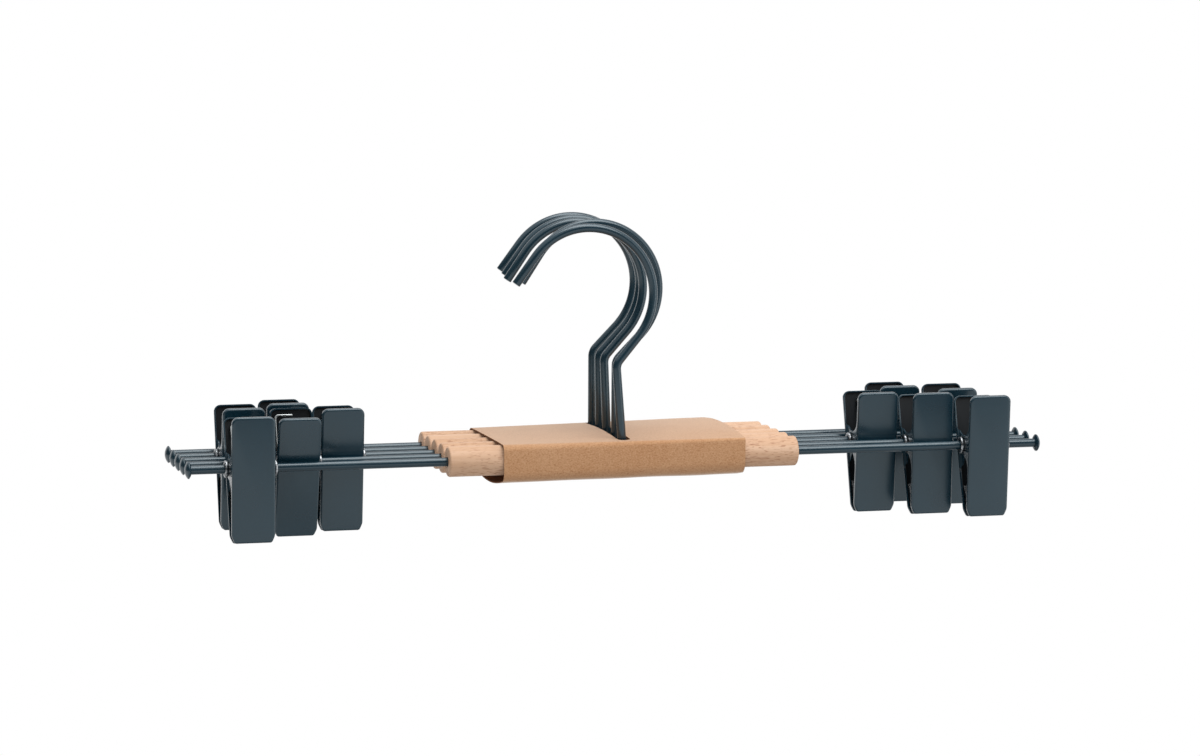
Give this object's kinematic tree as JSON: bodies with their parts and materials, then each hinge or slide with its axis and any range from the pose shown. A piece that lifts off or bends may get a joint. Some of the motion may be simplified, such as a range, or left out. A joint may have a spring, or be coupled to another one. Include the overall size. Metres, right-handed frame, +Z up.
{
  "type": "clip hanger",
  "caption": "Pack of trouser hangers: wire bars in beech dowels with hooks, sliding sprung metal clips, held side by side by a folded card sleeve.",
  "frame": {"origin": "the underside of the middle hanger's hook arc, where a rail touches it", "axes": "+X along the bars to the right seen from the front, +Y away from the front hanger, +Z up"},
  "size_m": [0.403, 0.0807, 0.1411],
  "materials": {
    "slate_powder_coat": "satin",
    "beech": "satin",
    "zinc_plate": "polished",
    "spring_wire": "polished",
    "kraft_card": "matte"
  },
  "bodies": {
    "hangers_and_sleeve": {"card_sleeve": "kraft_card", "hanger_1_bar": "slate_powder_coat", "hanger_1_block": "beech", "hanger_1_hook": "slate_powder_coat", "hanger_2_bar": "slate_powder_coat", "hanger_2_block": "beech", "hanger_2_hook": "slate_powder_coat", "hanger_3_bar": "slate_powder_coat", "hanger_3_block": "beech", "hanger_3_hook": "slate_powder_coat", "hanger_4_bar": "slate_powder_coat", "hanger_4_block": "beech", "hanger_4_hook": "slate_powder_coat", "hanger_5_bar": "slate_powder_coat", "hanger_5_block": "beech", "hanger_5_hook": "slate_powder_coat"},
    "clip_1_left_slider": {"clip_1_left_rivet": "zinc_plate"},
    "clip_1_left_rear_half": {"clip_1_left_rear_jaw": "slate_powder_coat", "clip_1_left_spring": "spring_wire"},
    "clip_1_left_front_half": {"clip_1_left_front_jaw": "slate_powder_coat"},
    "clip_1_right_slider": {"clip_1_right_rivet": "zinc_plate"},
    "clip_1_right_rear_half": {"clip_1_right_rear_jaw": "slate_powder_coat", "clip_1_right_spring": "spring_wire"},
    "clip_1_right_front_half": {"clip_1_right_front_jaw": "slate_powder_coat"},
    "clip_2_left_slider": {"clip_2_left_rivet": "zinc_plate"},
    "clip_2_left_rear_half": {"clip_2_left_rear_jaw": "slate_powder_coat", "clip_2_left_spring": "spring_wire"},
    "clip_2_left_front_half": {"clip_2_left_front_jaw": "slate_powder_coat"},
    "clip_2_right_slider": {"clip_2_right_rivet": "zinc_plate"},
    "clip_2_right_rear_half": {"clip_2_right_rear_jaw": "slate_powder_coat", "clip_2_right_spring": "spring_wire"},
    "clip_2_right_front_half": {"clip_2_right_front_jaw": "slate_powder_coat"},
    "clip_3_left_slider": {"clip_3_left_rivet": "zinc_plate"},
    "clip_3_left_rear_half": {"clip_3_left_rear_jaw": "slate_powder_coat", "clip_3_left_spring": "spring_wire"},
    "clip_3_left_front_half": {"clip_3_left_front_jaw": "slate_powder_coat"},
    "clip_3_right_slider": {"clip_3_right_rivet": "zinc_plate"},
    "clip_3_right_rear_half": {"clip_3_right_rear_jaw": "slate_powder_coat", "clip_3_right_spring": "spring_wire"},
    "clip_3_right_front_half": {"clip_3_right_front_jaw": "slate_powder_coat"},
    "clip_4_left_slider": {"clip_4_left_rivet": "zinc_plate"},
    "clip_4_left_rear_half": {"clip_4_left_rear_jaw": "slate_powder_coat", "clip_4_left_spring": "spring_wire"},
    "clip_4_left_front_half": {"clip_4_left_front_jaw": "slate_powder_coat"},
    "clip_4_right_slider": {"clip_4_right_rivet": "zinc_plate"},
    "clip_4_right_rear_half": {"clip_4_right_rear_jaw": "slate_powder_coat", "clip_4_right_spring": "spring_wire"},
    "clip_4_right_front_half": {"clip_4_right_front_jaw": "slate_powder_coat"},
    "clip_5_left_slider": {"clip_5_left_rivet": "zinc_plate"},
    "clip_5_left_rear_half": {"clip_5_left_rear_jaw": "slate_powder_coat", "clip_5_left_spring": "spring_wire"},
    "clip_5_left_front_half": {"clip_5_left_front_jaw": "slate_powder_coat"},
    "clip_5_right_slider": {"clip_5_right_rivet": "zinc_plate"},
    "clip_5_right_rear_half": {"clip_5_right_rear_jaw": "slate_powder_coat", "clip_5_right_spring": "spring_wire"},
    "clip_5_right_front_half": {"clip_5_right_front_jaw": "slate_powder_coat"}
  },
  "joints": [
    {"name": "clip_1_left_slide", "type": "slide", "parent": "hangers_and_sleeve", "child": "clip_1_left_slider", "axis": [1, 0, 0], "range_m": [-0.0006, 0.0521]},
    {"name": "clip_1_left_swing", "type": "hinge", "parent": "clip_1_left_slider", "child": "clip_1_left_rear_half", "pos_m": [-0.1327, 0.028, -0.10311], "axis": [1, 0, 0], "range_deg": [-17.4, 22.6]},
    {"name": "clip_1_left_open", "type": "hinge", "parent": "clip_1_left_rear_half", "child": "clip_1_left_front_half", "pos_m": [-0.1327, 0.028, -0.10311], "axis": [-1, 0, 0], "range_deg": [0, 30], "stiffness_Nm_per_rad": 0.25, "springref_deg": -57.3, "deforming": ["clip_1_left_spring"]},
    {"name": "clip_1_right_slide", "type": "slide", "parent": "hangers_and_sleeve", "child": "clip_1_right_slider", "axis": [1, 0, 0], "range_m": [-0.0536, 0.0015]},
    {"name": "clip_1_right_swing", "type": "hinge", "parent": "clip_1_right_slider", "child": "clip_1_right_rear_half", "pos_m": [0.1616, 0.028, -0.10311], "axis": [1, 0, 0], "range_deg": [-17.8, 22.2]},
    {"name": "clip_1_right_open", "type": "hinge", "parent": "clip_1_right_rear_half", "child": "clip_1_right_front_half", "pos_m": [0.1616, 0.028, -0.10311], "axis": [-1, 0, 0], "range_deg": [0, 30], "stiffness_Nm_per_rad": 0.25, "springref_deg": -57.3, "deforming": ["clip_1_right_spring"]},
    {"name": "clip_2_left_slide", "type": "slide", "parent": "hangers_and_sleeve", "child": "clip_2_left_slider", "axis": [1, 0, 0], "range_m": [-0.0174, 0.0006]},
    {"name": "clip_2_left_swing", "type": "hinge", "parent": "clip_2_left_slider", "child": "clip_2_left_rear_half", "pos_m": [-0.15549, 0.014, -0.10311], "axis": [1, 0, 0], "range_deg": [-17.6, 22.4]},
    {"name": "clip_2_left_open", "type": "hinge", "parent": "clip_2_left_rear_half", "child": "clip_2_left_front_half", "pos_m": [-0.15549, 0.014, -0.10311], "axis": [-1, 0, 0], "range_deg": [0, 30], "stiffness_Nm_per_rad": 0.25, "springref_deg": -57.3, "deforming": ["clip_2_left_spring"]},
    {"name": "clip_2_right_slide", "type": "slide", "parent": "hangers_and_sleeve", "child": "clip_2_right_slider", "axis": [1, 0, 0], "range_m": [-0.0015, 0.015]},
    {"name": "clip_2_right_swing", "type": "hinge", "parent": "clip_2_right_slider", "child": "clip_2_right_rear_half", "pos_m": [0.1853, 0.014, -0.10311], "axis": [1, 0, 0], "range_deg": [-19.1, 20.9]},
    {"name": "clip_2_right_open", "type": "hinge", "parent": "clip_2_right_rear_half", "child": "clip_2_right_front_half", "pos_m": [0.1853, 0.014, -0.10311], "axis": [-1, 0, 0], "range_deg": [0, 30], "stiffness_Nm_per_rad": 0.25, "springref_deg": -57.3, "deforming": ["clip_2_right_spring"]},
    {"name": "clip_3_left_slide", "type": "slide", "parent": "hangers_and_sleeve", "child": "clip_3_left_slider", "axis": [1, 0, 0], "range_m": [-0.0006, 0.0319]},
    {"name": "clip_3_left_swing", "type": "hinge", "parent": "clip_3_left_slider", "child": "clip_3_left_rear_half", "pos_m": [-0.11249, 0, -0.10311], "axis": [1, 0, 0], "range_deg": [-16.3, 23.7]},
    {"name": "clip_3_left_open", "type": "hinge", "parent": "clip_3_left_rear_half", "child": "clip_3_left_front_half", "pos_m": [-0.11249, 0, -0.10311], "axis": [-1, 0, 0], "range_deg": [0, 30], "stiffness_Nm_per_rad": 0.25, "springref_deg": -57.3, "deforming": ["clip_3_left_spring"]},
    {"name": "clip_3_right_slide", "type": "slide", "parent": "hangers_and_sleeve", "child": "clip_3_right_slider", "axis": [1, 0, 0], "range_m": [-0.0338, 0.0006]},
    {"name": "clip_3_right_swing", "type": "hinge", "parent": "clip_3_right_slider", "child": "clip_3_right_rear_half", "pos_m": [0.1418, 0, -0.10311], "axis": [1, 0, 0], "range_deg": [-15.6, 24.4]},
    {"name": "clip_3_right_open", "type": "hinge", "parent": "clip_3_right_rear_half", "child": "clip_3_right_front_half", "pos_m": [0.1418, 0, -0.10311], "axis": [-1, 0, 0], "range_deg": [0, 30], "stiffness_Nm_per_rad": 0.25, "springref_deg": -57.3, "deforming": ["clip_3_right_spring"]},
    {"name": "clip_4_left_slide", "type": "slide", "parent": "hangers_and_sleeve", "child": "clip_4_left_slider", "axis": [1, 0, 0], "range_m": [-0.0006, 0.0006]},
    {"name": "clip_4_left_swing", "type": "hinge", "parent": "clip_4_left_slider", "child": "clip_4_left_rear_half", "pos_m": [-0.13539, -0.014, -0.10311], "axis": [1, 0, 0], "range_deg": [-24.5, 15.5]},
    {"name": "clip_4_left_open", "type": "hinge", "parent": "clip_4_left_rear_half", "child": "clip_4_left_front_half", "pos_m": [-0.13539, -0.014, -0.10311], "axis": [-1, 0, 0], "range_deg": [0, 30], "stiffness_Nm_per_rad": 0.25, "springref_deg": -57.3, "deforming": ["clip_4_left_spring"]},
    {"name": "clip_4_right_slide", "type": "slide", "parent": "hangers_and_sleeve", "child": "clip_4_right_slider", "axis": [1, 0, 0], "range_m": [-0.0006, 0.0006]},
    {"name": "clip_4_right_swing", "type": "hinge", "parent": "clip_4_right_slider", "child": "clip_4_right_rear_half", "pos_m": [0.16461, -0.014, -0.10311], "axis": [1, 0, 0], "range_deg": [-11.7, 28.3]},
    {"name": "clip_4_right_open", "type": "hinge", "parent": "clip_4_right_rear_half", "child": "clip_4_right_front_half", "pos_m": [0.16461, -0.014, -0.10311], "axis": [-1, 0, 0], "range_deg": [0, 30], "stiffness_Nm_per_rad": 0.25, "springref_deg": -57.3, "deforming": ["clip_4_right_spring"]},
    {"name": "clip_5_left_slide", "type": "slide", "parent": "hangers_and_sleeve", "child": "clip_5_left_slider", "axis": [1, 0, 0], "range_m": [-0.0147, 0.0006]},
    {"name": "clip_5_left_swing", "type": "hinge", "parent": "clip_5_left_slider", "child": "clip_5_left_rear_half", "pos_m": [-0.1582, -0.028, -0.10311], "axis": [1, 0, 0], "range_deg": [-12.9, 27.1]},
    {"name": "clip_5_left_open", "type": "hinge", "parent": "clip_5_left_rear_half", "child": "clip_5_left_front_half", "pos_m": [-0.1582, -0.028, -0.10311], "axis": [-1, 0, 0], "range_deg": [0, 30], "stiffness_Nm_per_rad": 0.25, "springref_deg": -57.3, "deforming": ["clip_5_left_spring"]},
    {"name": "clip_5_right_slide", "type": "slide", "parent": "hangers_and_sleeve", "child": "clip_5_right_slider", "axis": [1, 0, 0], "range_m": [-0.0006, 0.0129]},
    {"name": "clip_5_right_swing", "type": "hinge", "parent": "clip_5_right_slider", "child": "clip_5_right_rear_half", "pos_m": [0.1874, -0.028, -0.10311], "axis": [1, 0, 0], "range_deg": [-13.6, 26.4]},
    {"name": "clip_5_right_open", "type": "hinge", "parent": "clip_5_right_rear_half", "child": "clip_5_right_front_half", "pos_m": [0.1874, -0.028, -0.10311], "axis": [-1, 0, 0], "range_deg": [0, 30], "stiffness_Nm_per_rad": 0.25, "springref_deg": -57.3, "deforming": ["clip_5_right_spring"]}
  ]
}
